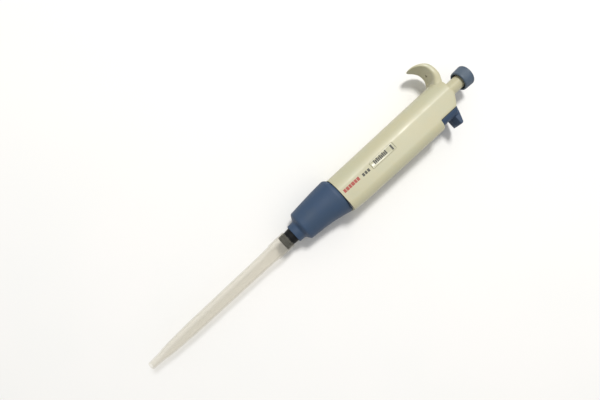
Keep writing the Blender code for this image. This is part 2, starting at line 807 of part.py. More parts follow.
def make_tip():
    """The long tip: a hollow taper with a collar, open at both ends."""
    tip = [
        (7.2, TIP_TOP),
        (7.3, TIP_TOP - 0.6),
        (7.2, TIP_COLLAR + 0.6),
        (6.6, TIP_COLLAR),
        (6.2, 120.0),
        (6.0, 84.0),
        (5.7, 44.0),
        (5.0, 24.0),
        (4.4, 16.0),
        (3.8, 12.0),
        (3.2, 0.0),
        (2.1, 0.0),
        (2.7, 12.0),
        (3.5, 16.5),
        (4.1, 24.5),
        (4.8, 44.0),
        (5.1, 84.0),
        (5.4, 120.0),
        (5.7, TIP_COLLAR),
        (6.5, TIP_COLLAR + 4),
        (6.55, TIP_TOP),
    ]
    turned("disposable_tip", tip, TIP, CLEAR, SMOOTH)


make_handle()
make_label()
make_base_plate()
make_fixed_mechanism()
make_cylinder()
make_tip_cone()
make_blowout_stage()
make_piston()
make_plunger_rod()
make_button()
make_ejector_button()
make_ejector_rod()
make_ejector_sleeve()
make_tip()
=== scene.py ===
"""Looks for the pipette: finer visible pieces, materials, floor, light and camera.

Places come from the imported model's boxes. Lengths are in millimetres unless a comment says so. A
station is a distance along the plunger axis from the tip's open end, as on the CAD model. Offsets y
and z are from that axis: the finger hook points to +y, the thumb ledge to -y, and z is up.
"""
import math

import bmesh
import bpy
from mathutils import Matrix, Vector


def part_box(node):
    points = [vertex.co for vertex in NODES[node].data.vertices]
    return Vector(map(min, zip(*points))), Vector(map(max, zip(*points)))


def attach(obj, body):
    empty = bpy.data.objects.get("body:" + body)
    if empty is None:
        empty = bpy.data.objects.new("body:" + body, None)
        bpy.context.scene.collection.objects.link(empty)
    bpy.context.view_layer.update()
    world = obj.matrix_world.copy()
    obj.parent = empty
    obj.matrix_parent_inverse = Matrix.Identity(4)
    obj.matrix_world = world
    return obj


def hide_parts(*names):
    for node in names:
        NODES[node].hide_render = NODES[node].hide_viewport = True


MM = 0.001

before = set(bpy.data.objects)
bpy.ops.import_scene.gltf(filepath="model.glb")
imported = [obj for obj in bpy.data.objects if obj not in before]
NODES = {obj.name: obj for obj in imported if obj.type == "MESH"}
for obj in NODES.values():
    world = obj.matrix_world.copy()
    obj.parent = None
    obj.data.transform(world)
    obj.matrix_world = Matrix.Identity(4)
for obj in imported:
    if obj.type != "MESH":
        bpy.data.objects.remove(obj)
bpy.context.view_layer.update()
SCENE = bpy.context.scene

# Places read from the frame
TIP_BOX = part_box("disposable_tip")
TIP_END_X = TIP_BOX[0].x
AXIS_Z = (TIP_BOX[0].z + TIP_BOX[1].z) / 2


def station_of(x):
    return (x - TIP_END_X) / MM


def span(node):
    """A node's first and last station."""
    low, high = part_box(node)
    return station_of(low.x), station_of(high.x)


TIP_TOP = span("disposable_tip")[1]
HANDLE_START = span("handle_body")[0]
HANDLE_END = span("stem_bush")[1] + 0.1
HALF_DEPTH = AXIS_Z / MM
EJECTOR_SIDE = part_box("handle_body")[0].y / MM
SLEEVE_END, SLEEVE_TOP = span("ejector_sleeve")
STEM_START, STEM_TOP = span("button_stem")
BUTTON_START = span("push_button")[0]
BUTTON_TOP = span("button_cap")[1]
BLOCK_START = span("ejector_button")[0]
LEDGE_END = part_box("ejector_button")[0].y / MM
LABEL_START, LABEL_END = span("label_plate")
LABEL_LOW, LABEL_HIGH = (corner.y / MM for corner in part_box("label_plate"))
LABEL_TOP = (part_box("label_plate")[1].z - AXIS_Z) / MM

# Sizes that the CAD model shares
HOOK_SIDE = 13.2
LOWER_EJECTOR_SIDE = -18.4
CORNER_R = 7.2
RIDGE = 1.2
WALL = 2.0
CHANNEL_Y = -12.6
NOTCH_START = 296.5
TOP_WALL = 312.5
BLOCK_TOP = 317.0
ROD_Y = -14.6
ROD_HOLE_R = 1.4
RIB_START = 246.0
RIB_END = 248.5
CORNER_POINT = (312.5, -12.3, 15.9)
CORNER_SLANT = (0.744, -0.513, 0.428)
GAP = 0.3

# How finely round shapes are drawn, and the angle in degrees above which an edge stays sharp
ROUND_STEPS = 96
HOOK_STEPS = 48
FINE_STEPS = 128
KNOB_STEPS = 320
SHARP_ANGLE = 30

# Half the width of a block that has to cut right through the handle
BEYOND = 18


def at(station, y=0.0, z=0.0):
    """A point in metres from a station and offsets from the plunger axis."""
    return Vector((TIP_END_X + station * MM, y * MM, AXIS_Z + z * MM))


# Mesh tools


def mesh_from(form, name):
    """The mesh of a form, with its faces turned outwards."""
    bmesh.ops.recalc_face_normals(form, faces=form.faces)
    mesh = bpy.data.meshes.new(name)
    form.to_mesh(mesh)
    form.free()
    return mesh


def skin(name, rings, loop=False):
    """A surface through rings of points. A ring of one point is a pole, and loop joins the last ring
    to the first, as on a tube's wall. Otherwise the end rings are capped."""
    form = bmesh.new()
    loops = [[form.verts.new(point) for point in ring] for ring in rings]
    pairs = list(zip(loops, loops[1:]))
    if loop:
        pairs.append((loops[-1], loops[0]))
    for low, high in pairs:
        count = max(len(low), len(high))
        for index in range(count):
            following = index + 1
            corners = [
                low[index % len(low)],
                low[following % len(low)],
                high[following % len(high)],
                high[index % len(high)],
            ]
            form.faces.new(list(dict.fromkeys(corners)))
    if not loop:
        for end in (loops[0], loops[-1]):
            if len(end) > 2:
                form.faces.new(end)
    return mesh_from(form, name)


def combine(name, base, others, operation):
    """A mesh joined to, or cut by, other meshes."""
    target = bpy.data.objects.new(name, base)
    SCENE.collection.objects.link(target)
    helpers = []
    for mesh in others:
        helper = bpy.data.objects.new(mesh.name, mesh)
        SCENE.collection.objects.link(helper)
        helpers.append(helper)
        boolean = target.modifiers.new(mesh.name, "BOOLEAN")
        boolean.operation = operation
        boolean.object = helper
    return baked(target, helpers)


def baked(target, helpers=()):
    """The evaluated mesh of an object, which is then removed with its helpers."""
    graph = bpy.context.evaluated_depsgraph_get()
    mesh = bpy.data.meshes.new_from_object(target.evaluated_get(graph))
    mesh.name = target.name
    for item in (target, *helpers):
        bpy.data.objects.remove(item, do_unlink=True)
    return mesh


def soften(mesh, voxel, passes, keep=1.0):
    """Blend a mesh's joints and round its edges: an even remesh, a smoothing and a thinning."""
    target = bpy.data.objects.new(mesh.name, mesh)
    SCENE.collection.objects.link(target)
    remesh = target.modifiers.new("even", "REMESH")
    remesh.mode = "VOXEL"
    remesh.voxel_size = voxel * MM
    smooth = target.modifiers.new("smooth", "SMOOTH")
    smooth.factor = 0.5
    smooth.iterations = passes
    if keep < 1:
        thin = target.modifiers.new("thin", "DECIMATE")
        thin.ratio = keep
    return baked(target)


def rounded(points, reach, steps=4, closed=True):
    """An outline whose corners are eased over a reach along each side."""
    result = []
    for index, corner in enumerate(points):
        if not closed and index in (0, len(points) - 1):
            result.append(tuple(corner))
            continue
        middle = Vector(corner)
        before = Vector(points[index - 1]) - middle
        after = Vector(points[(index + 1) % len(points)]) - middle
        start = middle + before.normalized() * min(reach, before.length * 0.45)
        end = middle + after.normalized() * min(reach, after.length * 0.45)
        for step in range(steps + 1):
            t = step / steps
            point = start * (1 - t) ** 2 + middle * 2 * t * (1 - t) + end * t**2
            result.append((point.x, point.y))
    return result


def arc(centre, radius, start, end, steps):
    """Points on an arc, with its angles in degrees."""
    angles = [math.radians(start + (end - start) * i / steps) for i in range(steps + 1)]
    return [(centre[0] + radius * math.cos(t), centre[1] + radius * math.sin(t)) for t in angles]


def bezier(a, b, c, d, steps):
    """Points on a cubic curve, without its end."""
    points = []
    for step in range(steps):
        t = step / steps
        weights = ((1 - t) ** 3, 3 * t * (1 - t) ** 2, 3 * t**2 * (1 - t), t**3)
        points.append(tuple(sum(w * p[k] for w, p in zip(weights, (a, b, c, d))) for k in (0, 1)))
    return points


def through(rows, steps):
    """Rows of numbers on a smooth curve through the given rows."""
    result = []
    for index in range(len(rows) - 1):
        before = rows[max(index - 1, 0)]
        here, there = rows[index], rows[index + 1]
        after = rows[min(index + 2, len(rows) - 1)]
        for step in range(steps):
            t = step / steps
            weights = (
                -0.5 * t**3 + t**2 - 0.5 * t,
                1.5 * t**3 - 2.5 * t**2 + 1,
                -1.5 * t**3 + 2 * t**2 + 0.5 * t,
                0.5 * t**3 - 0.5 * t**2,
            )
            values = zip(before, here, there, after)
            result.append(tuple(sum(w * v for w, v in zip(weights, four)) for four in values))
    return result + [tuple(rows[-1])]


def eased(rows, spacing, passes):
    """Rows of numbers resampled evenly along their first value and smoothed, with the ends kept."""
    first, last = rows[0][0], rows[-1][0]
    count = int((last - first) / spacing)
    samples = []
    for index in range(count + 1):
        value = first + (last - first) * index / count
        for low, high in zip(rows, rows[1:]):
            if low[0] <= value <= high[0]:
                share = (value - low[0]) / (high[0] - low[0])
                samples.append(tuple(a + share * (b - a) for a, b in zip(low, high)))
                break
    for _ in range(passes):
        middle = [
            tuple((a + 2 * b + c) / 4 for a, b, c in zip(*three))
            for three in zip(samples, samples[1:], samples[2:])
        ]
        samples = [samples[0], *middle, samples[-1]]
    return samples


def turned(name, profile, segments=ROUND_STEPS, loop=True, ribs=None):
    """A turned mesh from (radius, station) points. Ribs give (count, depth, first, last station)."""
    rings = []
    for radius, station in profile:
        if radius == 0:
            rings.append([at(station)])
            continue
        ring = []
        for step in range(segments):
            angle = 2 * math.pi * step / segments
            reach = radius
            if ribs and ribs[2] <= station <= ribs[3]:
                reach -= ribs[1] * (0.5 - 0.5 * math.cos(ribs[0] * angle)) ** 2
            ring.append(at(station, reach * math.cos(angle), reach * math.sin(angle)))
        rings.append(ring)
    return skin(name, rings, loop)


def lofted(name, sections):
    """A closed skin through (station, outline) sections of (y, z) points."""
    rings = [[at(station, y, z) for y, z in outline] for station, outline in sections]
    return skin(name, rings)


def side_prism(name, outline, low_z, high_z):
    """A flat (station, y) outline, between two z values."""
    rings = [[at(station, y, z) for station, y in outline] for z in (low_z, high_z)]
    return skin(name, rings)


def rod(name, radius, start, end, y=0.0, segments=48):
    """A cylinder along the axis direction, to cut with."""
    outline = arc((y, 0), radius, 0, 360, segments)[:-1]
    return lofted(name, [(start, outline), (end, outline)])


def block(name, stations, ys, zs):
    """A box, to cut with, from its first and last station, y and z."""
    outline = [(ys[0], zs[0]), (ys[1], zs[0]), (ys[1], zs[1]), (ys[0], zs[1])]
    return lofted(name, [(stations[0], outline), (stations[1], outline)])


def place(name, mesh, body, material, replaces=()):
    """Put a finished mesh in the scene as a piece that rides on a body."""
    piece = bpy.data.objects.new(name, mesh)
    SCENE.collection.objects.link(piece)
    mesh.materials.clear()
    mesh.materials.append(material)
    mesh.shade_smooth()
    mesh.set_sharp_from_angle(angle=math.radians(SHARP_ANGLE))
    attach(piece, body)
    if replaces:
        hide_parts(*replaces)


# Material tools


class Look:
    """A material under construction: its shader, and short calls for the nodes that feed it."""

    def __init__(self, name, colour, roughness, metallic=0.0):
        self.material = bpy.data.materials.new(name)
        self.material.use_nodes = True
        self.tree = self.material.node_tree
        self.shader = self.tree.nodes["Principled BSDF"]
        self.colour = colour
        self.set("Base Color", (*colour, 1))
        self.set("Roughness", roughness)
        self.set("Metallic", metallic)
        self.place = self.tree.nodes.new("ShaderNodeTexCoord").outputs["Object"]
        self.bumped = None

    def set(self, socket, value):
        self.shader.inputs[socket].default_value = value

    def link(self, output, socket):
        self.tree.links.new(output, socket)

    def stretched(self, scale):
        """Object coordinates, scaled by a vector."""
        mapping = self.tree.nodes.new("ShaderNodeMapping")
        mapping.inputs["Scale"].default_value = scale
        self.link(self.place, mapping.inputs["Vector"])
        return mapping.outputs["Vector"]

    def noise(self, size, detail=3.0, stretch=(1, 1, 1), distortion=0.0):
        """Noise whose features are about size mm across."""
        node = self.tree.nodes.new("ShaderNodeTexNoise")
        node.inputs["Scale"].default_value = 1 / (size * MM)
        node.inputs["Detail"].default_value = detail
        node.inputs["Distortion"].default_value = distortion
        self.link(self.stretched(stretch), node.inputs["Vector"])
        return node.outputs["Fac"]

    def cells(self, size):
        """Distance to the nearest point of a random scatter, size mm apart."""
        node = self.tree.nodes.new("ShaderNodeTexVoronoi")
        node.inputs["Scale"].default_value = 1 / (size * MM)
        self.link(self.place, node.inputs["Vector"])
        return node.outputs["Distance"]

    def spread(self, factor, low, high, start=0.0, end=1.0):
        """A factor mapped from low..high to start..end."""
        node = self.tree.nodes.new("ShaderNodeMapRange")
        node.inputs["From Min"].default_value = low
        node.inputs["From Max"].default_value = high
        node.inputs["To Min"].default_value = start
        node.inputs["To Max"].default_value = end
        self.link(factor, node.inputs["Value"])
        return node.outputs["Result"]

    def tint(self, factor, other, base=None):
        """Mix the base colour, or a colour already made, with another by a factor."""
        node = self.tree.nodes.new("ShaderNodeMix")
        node.data_type = "RGBA"
        self.link(factor, node.inputs["Factor"])
        if base is None:
            node.inputs["A"].default_value = (*self.colour, 1)
        else:
            self.link(base, node.inputs["A"])
        node.inputs["B"].default_value = (*other, 1)
        self.link(node.outputs["Result"], self.shader.inputs["Base Color"])
        return node.outputs["Result"]

    def rough(self, factor, low, high):
        """Let the roughness follow a factor."""
        self.link(self.spread(factor, 0.3, 0.7, low, high), self.shader.inputs["Roughness"])

    def bump(self, height, depth):
        """Add a relief of depth mm to the surface."""
        node = self.tree.nodes.new("ShaderNodeBump")
        node.inputs["Strength"].default_value = 1.0
        node.inputs["Distance"].default_value = depth * MM
        self.link(height, node.inputs["Height"])
        if self.bumped is not None:
            self.link(self.bumped, node.inputs["Normal"])
        self.bumped = node.outputs["Normal"]
        self.link(self.bumped, self.shader.inputs["Normal"])

    def painted_edge_highlight(self, base, other):
        """A painted highlight: a lighter colour along the convex edges."""
        geometry = self.tree.nodes.new("ShaderNodeNewGeometry")
        edge = self.spread(geometry.outputs["Pointiness"], 0.53, 0.62, 0.0, 0.5)
        self.tint(edge, other, base)


def moulded(name, colour, warm, cool, edge, roughness, specular=0.5):
    """Moulded plastic: slow colour drifts, a fine spark-eroded grain, handling marks, painted edge
    highlights.
    """
    look = Look(name, colour, roughness)
    drift = look.tint(look.spread(look.noise(34, 2), 0.35, 0.65), warm)
    drift = look.tint(look.spread(look.noise(11, 3), 0.45, 0.75, 0, 0.6), cool, drift)
    # The edge colour is painted along the convex edges as a highlight.
    look.painted_edge_highlight(drift, edge)
    smear = look.noise(7, 4, (0.35, 1, 1), 0.6)
    look.rough(smear, roughness - 0.05, roughness + 0.08)
    look.bump(look.noise(0.35, 3), 0.012)
    look.bump(look.noise(9, 2), 0.03)
    look.set("Specular IOR Level", specular)
    return look


def cream_plastic():
    look = moulded(
        "cream_plastic",
        (0.47, 0.455, 0.315),
        (0.485, 0.455, 0.305),
        (0.45, 0.45, 0.32),
        (0.58, 0.57, 0.42),
        0.36,
        0.45,
    )
    look.set("Subsurface Weight", 0.06)
    look.set("Subsurface Radius", (1.0, 0.8, 0.5))
    look.set("Subsurface Scale", 0.0012)
    return look.material


def blue_plastic():
    return moulded(
        "blue_plastic",
        (0.034, 0.065, 0.124),
        (0.038, 0.067, 0.118),
        (0.030, 0.063, 0.130),
        (0.060, 0.100, 0.165),
        0.52,
        0.32,
    ).material


def knob_plastic():
    return moulded(
        "knob_plastic",
        (0.066, 0.100, 0.148),
        (0.072, 0.102, 0.142),
        (0.060, 0.098, 0.154),
        (0.100, 0.140, 0.190),
        0.45,
        0.4,
    ).material


def navy_plastic():
    return moulded(
        "navy_plastic",
        (0.028, 0.055, 0.108),
        (0.032, 0.057, 0.104),
        (0.024, 0.052, 0.112),
        (0.055, 0.092, 0.155),
        0.48,
        0.32,
    ).material


def black_plastic():
    return moulded(
        "black_plastic",
        (0.005, 0.006, 0.0065),
        (0.006, 0.006, 0.006),
        (0.004, 0.0055, 0.007),
        (0.014, 0.015, 0.016),
        0.55,
        0.18,
    ).material


def grey_plastic():
    return moulded(
        "grey_plastic",
        (0.30, 0.30, 0.31),
        (0.31, 0.30, 0.29),
        (0.28, 0.29, 0.31),
        (0.38, 0.38, 0.39),
        0.5,
    ).material


def tip_plastic():
    """Clear polypropylene: mostly see-through, with a milky skin and faint flow lines along the
    moulding. Its outline is denser, where light passes through more of the wall."""
    look = Look("tip_plastic", (0.60, 0.585, 0.50), 0.16)
    flow = look.noise(3.0, 2, (0.02, 1, 1))
    milk = look.tint(look.spread(flow, 0.35, 0.65), (0.56, 0.55, 0.48))
    look.tint(look.noise(1.6, 3), (0.58, 0.56, 0.475), milk)
    look.rough(flow, 0.14, 0.24)
    look.bump(flow, 0.004)
    look.set("IOR", 1.49)
    facing = look.tree.nodes.new("ShaderNodeLayerWeight")
    facing.inputs["Blend"].default_value = 0.35
    dense = look.spread(facing.outputs["Facing"], 0.25, 1.0, 0.075, 0.42)
    clear = look.tree.nodes.new("ShaderNodeBsdfTransparent")
    clear.inputs["Color"].default_value = (0.977, 0.969, 0.95, 1)
    mixed = look.tree.nodes.new("ShaderNodeMixShader")
    look.link(dense, mixed.inputs[0])
    look.link(clear.outputs["BSDF"], mixed.inputs[1])
    look.link(look.shader.outputs["BSDF"], mixed.inputs[2])
    look.link(mixed.outputs["Shader"], look.tree.nodes["Material Output"].inputs["Surface"])
    return look.material


def turned_metal(name, colour, dark, roughness):
    """Metal from a lathe: fine rings of tool marks along the axis, and faint stains."""
    look = Look(name, colour, roughness, 1.0)
    stain = look.spread(look.noise(4, 3), 0.45, 0.7, 0, 0.7)
    look.tint(stain, dark)
    marks = look.noise(0.25, 2, (1, 0.02, 0.02))
    look.rough(marks, roughness - 0.06, roughness + 0.1)
    look.bump(marks, 0.01)
    return look.material


def seal_rubber():
    look = Look("seal_rubber", (0.016, 0.016, 0.017), 0.7)
    look.tint(look.spread(look.noise(1.5, 4), 0.45, 0.7), (0.03, 0.03, 0.032))
    look.rough(look.noise(0.8, 3), 0.6, 0.8)
    look.bump(look.noise(0.2, 3), 0.02)
    return look.material


def ptfe():
    look = Look("ptfe", (0.80, 0.80, 0.78), 0.45)
    look.tint(look.spread(look.noise(3, 3), 0.4, 0.7), (0.74, 0.74, 0.71))
    look.rough(look.noise(1.0, 3), 0.38, 0.55)
    look.bump(look.noise(0.3, 2, (1, 0.1, 0.1)), 0.01)
    look.set("Subsurface Weight", 0.2)
    look.set("Subsurface Scale", 0.001)
    return look.material


def filter_foam():
    look = Look("filter_foam", (0.80, 0.79, 0.74), 0.95)
    pores = look.cells(0.35)
    # The pits of the pores are painted darker, as painted shade in the hollows.
    look.tint(look.spread(pores, 0.1, 0.6, 0.8, 0), (0.55, 0.54, 0.50))
    look.bump(pores, 0.12)
    return look.material


def label_sheet():
    """The label's film: as pale as the handle but glossier, with a fine mottle."""
    look = Look("label_sheet", (0.47, 0.455, 0.32), 0.3)
    look.tint(look.spread(look.noise(1.2, 4), 0.45, 0.7), (0.44, 0.43, 0.30))
    look.rough(look.noise(3, 3), 0.24, 0.36)
    look.bump(look.noise(0.5, 2), 0.006)
    return look.material


def ink(name, colour, thin):
    """Pad-printed ink, thinner in specks where it didn't take."""
    look = Look(name, colour, 0.4)
    look.tint(look.spread(look.noise(0.45, 3), 0.5, 0.7), thin)
    look.rough(look.noise(1.0, 2), 0.32, 0.5)
    look.bump(look.noise(0.3, 2), 0.006)
    return look.material


CREAM = cream_plastic()
BLUE = blue_plastic()
NAVY = navy_plastic()
KNOB = knob_plastic()
BLACK = black_plastic()
GREY = grey_plastic()
CLEAR = tip_plastic()
STEEL = turned_metal("steel", (0.58, 0.58, 0.60), (0.46, 0.46, 0.48), 0.28)
BRASS = turned_metal("brass", (0.68, 0.50, 0.22), (0.50, 0.36, 0.16), 0.30)
RUBBER = seal_rubber()
PTFE = ptfe()
FOAM = filter_foam()
LABEL = label_sheet()
RED_INK = ink("red_ink", (0.33, 0.030, 0.018), (0.40, 0.09, 0.06))
DARK_INK = ink("dark_ink", (0.020, 0.020, 0.012), (0.06, 0.058, 0.04))


# The handle


def handle_section(inset=0.0, ejector_side=EJECTOR_SIDE):
    """The (y, z) outline of the handle, or of a shape inside it by inset: a flat flank, a slight
    ridge, a side towards the hook that curves over, and rounded corners towards the ejector."""
    top = HALF_DEPTH - inset
    side = HOOK_SIDE - inset
    flank_angle = math.radians(10)
    reach = 0.71 * (side - RIDGE)
    leaving = (RIDGE + reach * math.cos(flank_angle), top - reach * math.sin(flank_angle))
    over = bezier((side, 0), (side, 0.72 * top), leaving, (RIDGE, top), 16)
    corner = (ejector_side + CORNER_R, HALF_DEPTH - CORNER_R)
    upper = over + [(RIDGE, top)] + arc(corner, CORNER_R - inset, 90, 180, 12)
    lower = [(y, -z) for y, z in reversed(upper[1:])]
    return upper + lower


def clipped(outline, limit, keep_below):
    """The part of an outline on one side of a y limit."""
    sign = 1 if keep_below else -1
    kept = []
    for here, there in zip(outline, outline[1:] + outline[:1]):
        if sign * (here[0] - limit) <= 0:
            kept.append(here)
        if (here[0] - limit) * (there[0] - limit) < 0:
            share = (limit - here[0]) / (there[0] - here[0])
            kept.append((limit, here[1] + share * (there[1] - here[1])))
    return kept


def hook_section(inner, outer, half_width):
    """A rounded bar's section between a point on the hook's concave face and one on its back."""
    fullness = 4.5
    inner, outer = Vector(inner), Vector(outer)
    middle = (inner + outer) / 2
    half = (outer - inner) / 2
    ring = []
    for step in range(HOOK_STEPS):
        angle = 2 * math.pi * step / HOOK_STEPS
        u, v = math.cos(angle), math.sin(angle)
        across = math.copysign(abs(u) ** (2 / fullness), u)
        up = math.copysign(abs(v) ** (2 / fullness), v)
        point = middle + half * across
        ring.append(at(point.x, point.y, half_width * up))
    return ring


def hook_mesh():
    """The finger hook, from its flared root in the handle to its tapering tip. Each row is a point on
    the concave face, a point on the back, as station and y, and the half width there."""
    rows = [
        (310.6, 2.0, 316.8, 1.0, 13.4),
        (311.0, 7.4, 318.9, 6.6, 13.0),
        (313.0, 11.6, 321.3, 10.6, 12.2),
        (316.6, 14.9, 323.4, 14.4, 10.9),
        (318.3, 18.4, 324.1, 18.7, 9.9),
        (318.6, 21.6, 323.9, 22.7, 9.4),
        (318.0, 25.4, 322.5, 26.7, 9.1),
        (316.0, 28.6, 319.4, 30.0, 8.6),
        (313.6, 30.8, 315.4, 32.4, 7.6),
        (311.4, 32.2, 312.2, 33.6, 5.8),
        (310.0, 32.9, 310.5, 33.9, 3.8),
        (309.2, 33.4, 309.5, 34.0, 1.8),
    ]
    rings = [
        hook_section((a, b), (c, d), half_width) for a, b, c, d, half_width in through(rows, 6)
    ]
    return skin("hook", rings)


def corner_block(name, side):
    """A block beyond the plane that slants across one upper corner of the handle."""
    size = 40
    slant = Vector((*CORNER_SLANT[:2], side * CORNER_SLANT[2])).normalized()
    middle = at(*CORNER_POINT[:2], side * CORNER_POINT[2]) + slant * size / 2 * MM
    turn = slant.to_track_quat("Z", "Y").to_matrix().to_4x4()
    form = bmesh.new()
    bmesh.ops.create_cube(form, size=size * MM, matrix=Matrix.Translation(middle) @ turn)
    return mesh_from(form, name)


def handle_outer():
    """The handle's outer form with its hook, notch and sloped top, as one blended mesh."""
    flare = [
        (HANDLE_START - 3, LOWER_EJECTOR_SIDE + 0.3),
        (HANDLE_START, LOWER_EJECTOR_SIDE),
        (205.0, -18.8),
        (207.5, -19.05),
        (216.0, -19.5),
        (262.0, -19.9),
        (HANDLE_END, EJECTOR_SIDE),
    ]
    sections = [(station, handle_section(0, side)) for station, side in flare]
    body = combine("handle_form", lofted("handle_form", sections), [hook_mesh()], "UNION")
    stations = (NOTCH_START, HANDLE_END + 6)
    notch = block("notch", stations, (EJECTOR_SIDE - 3, CHANNEL_Y), (-BEYOND, BEYOND))
    slope = [
        (HANDLE_END + 0.05, -8.6),
        (316.2, -14.6),
        (HANDLE_END + 6, -14.6),
        (HANDLE_END + 6, -8.6),
    ]
    bevel = side_prism("top_slope", slope, -BEYOND, BEYOND)
    corners = [corner_block("upper_corner", side) for side in (-1, 1)]
    body = combine("handle_form", body, [notch, bevel, *corners], "DIFFERENCE")
    return soften(body, 0.45, 4, 0.6)


def handle_cavities():
    """The spaces in the handle: below the rib, above it, and the ejector's channel."""
    inner = handle_section(WALL)
    lower_inner = handle_section(1.6, LOWER_EJECTOR_SIDE)
    spaces = [
        lofted("lower", [(HANDLE_START - 5, lower_inner), (RIB_START, lower_inner)]),
        lofted("middle", [(RIB_END, inner), (STEM_START + 1, inner)]),
    ]
    upper = clipped(inner, -11.2, False)
    channel = clipped(inner, CHANNEL_Y, True)
    spaces += [
        lofted("upper", [(STEM_START, upper), (TOP_WALL, upper)]),
        lofted("channel", [(STEM_START, channel), (HANDLE_END + 4, channel)]),
        rod("rib_bore", 10.8, RIB_START - 1, RIB_END + 1.5),
        block("rib_slot", (RIB_START - 1, RIB_END + 1.5), (-16.8, -9.0), (-1.5, 1.5)),
        rod("bush_seat", 8.3, TOP_WALL - 1, HANDLE_END + 3),
        rod("button_relief", 8.8, HANDLE_END + 0.1, HANDLE_END + 4),
        rod("hook_hole", 1.0, 313.0, 321.0, y=20.8, segments=24),
        block("start_cut", (HANDLE_START - 6, HANDLE_START), (-30, 30), (-30, 30)),
    ]
    recess = rounded(
        [
            (LABEL_START - GAP, LABEL_LOW - GAP),
            (LABEL_END + GAP, LABEL_LOW - GAP),
            (LABEL_END + GAP, LABEL_HIGH + GAP),
            (LABEL_START - GAP, LABEL_HIGH + GAP),
        ],
        1.4,
    )
    spaces.append(side_prism("label_recess", recess, HALF_DEPTH - 0.4, HALF_DEPTH + 1))
    return spaces


def make_handle():
    """The hollow handle moulding, with its hook, notch and label recess."""
    mesh = combine("handle_body", handle_outer(), handle_cavities(), "DIFFERENCE")
    place("handle_shell", mesh, "handle", CREAM, ["handle_body"])


# The label and the printed marks


def printed(name, bars, low_z, high_z, material):
    """Bars of ink, each given as first and last station and first and last y."""
    form = bmesh.new()
    for start, end, low, high in bars:
        outline = rounded([(start, low), (end, low), (end, high), (start, high)], 0.18, 3)
        bar = side_prism(name, outline, low_z, high_z)
        form.from_mesh(bar)
        bpy.data.meshes.remove(bar)
    place(name, mesh_from(form, name), "handle", material)


def make_label():
    """A plain framed plate with a row of plain ticks and one bar, without letters."""
    plate_top = LABEL_TOP - 0.03
    corners = [
        (LABEL_START, LABEL_LOW),
        (LABEL_END, LABEL_LOW),
        (LABEL_END, LABEL_HIGH),
        (LABEL_START, LABEL_HIGH),
    ]
    outline = rounded(corners, 1.2, 6)
    centre = ((LABEL_START + LABEL_END) / 2, (LABEL_LOW + LABEL_HIGH) / 2)

    def drawn_in(inset):
        """The outline, shrunk towards the plate's centre."""
        half = ((LABEL_END - LABEL_START) / 2, (LABEL_HIGH - LABEL_LOW) / 2)
        return [
            tuple(c + (v - c) * (h - inset) / h for v, c, h in zip(point, centre, half))
            for point in outline
        ]

    levels = [
        (0.0, HALF_DEPTH - 0.1),
        (0.0, plate_top - 0.05),
        (0.12, plate_top),
        (0.55, plate_top),
        (0.65, plate_top - 0.07),
    ]
    rings = [[at(station, y, z) for station, y in drawn_in(inset)] for inset, z in levels]
    place("label_frame", skin("label_frame", rings), "handle", LABEL, ["label_plate"])
    floor = plate_top - 0.09
    top = plate_top - 0.03
    ticks = []
    foot, pitch, width = -3.4, 1.45, 1.15
    for index in range(9):
        start = LABEL_START + 3.2 + index * pitch
        height = 3.5 if index % 2 == 0 else 2.8
        ticks.append((start, start + width, foot, foot + height))
    ticks.append((LABEL_END - 3.1, LABEL_END - 1.6, -4.3, 0.2))
    printed("label_marks", ticks, floor, top, DARK_INK)


def make_printed_row():
    """Plain blocks of red and dark ink in a row on the handle, without letters."""
    floor, top = HALF_DEPTH - 0.06, HALF_DEPTH + 0.04
    red_widths = [2.1, 2.4, 2.1, 2.6, 2.1, 2.3]
    start = 205.0
    red = []
    for width in red_widths:
        red.append((start, start + width, -3.9, -1.0))
        start += width + 0.42
    printed("red_row", red, floor, top, RED_INK)
    dark = [(start, start + 1.9, -4.2, -1.7) for start in (223.8, 226.4, 229.0)]
    printed("dark_row", dark, floor, top, DARK_INK)


# The push button and its stem


def make_button():
    """The stem, the finely ribbed knob with a hollow round the stem, and the cap in its top."""
    stem_foot = 296.8
    stem = [
        (5.0, STEM_TOP),
        (5.4, STEM_TOP - 0.4),
        (5.4, STEM_START + 3),
        (7.4, STEM_START + 3),
        (7.4, STEM_START),
        (2.8, STEM_START),
        (2.8, stem_foot),
    ]
    profile = [(0, STEM_TOP)] + rounded(stem, 0.3, 4, False) + [(0, stem_foot)]
    mesh = turned("stem", profile, ROUND_STEPS, False)
    place("stem", mesh, "plunger", CREAM, ["button_stem"])
    knob = [
        (7.7, BUTTON_TOP - 1.6),
        (7.7, BUTTON_TOP - 0.45),
        (8.35, BUTTON_TOP - 0.5),
        (8.7, BUTTON_TOP - 1.2),
        (8.62, BUTTON_TOP - 1.9),
        (8.36, BUTTON_START + 1.5),
        (8.28, BUTTON_START + 0.6),
        (7.8, BUTTON_START),
        (6.8, BUTTON_START),
        (6.7, BUTTON_START + 2.2),
        (5.7, BUTTON_START + 2.2),
        (5.7, STEM_TOP + GAP),
        (0, STEM_TOP + GAP),
    ]
    profile = [(0, BUTTON_TOP - 1.6)] + rounded(knob[:-1], 0.35, 4, False) + [knob[-1]]
    profile = divided(profile, BUTTON_START + 1.5, BUTTON_TOP - 1.9)
    ribs = (40, 0.16, BUTTON_START + 1.7, BUTTON_TOP - 2.1)
    mesh = turned("knob", profile, KNOB_STEPS, False, ribs)
    place("knob", mesh, "plunger", KNOB, ["push_button"])
    cap = [
        (6.3, BUTTON_TOP - 0.25),
        (6.7, BUTTON_TOP),
        (7.0, BUTTON_TOP),
        (7.4, BUTTON_TOP - 0.4),
        (7.4, BUTTON_TOP - 1.3),
    ]
    profile = [(0, BUTTON_TOP - 0.45)] + rounded(cap, 0.25, 4, False) + [(0, BUTTON_TOP - 1.3)]
    mesh = turned("knob_cap", profile, ROUND_STEPS, False)
    place("knob_cap", mesh, "plunger", KNOB, ["button_cap"])


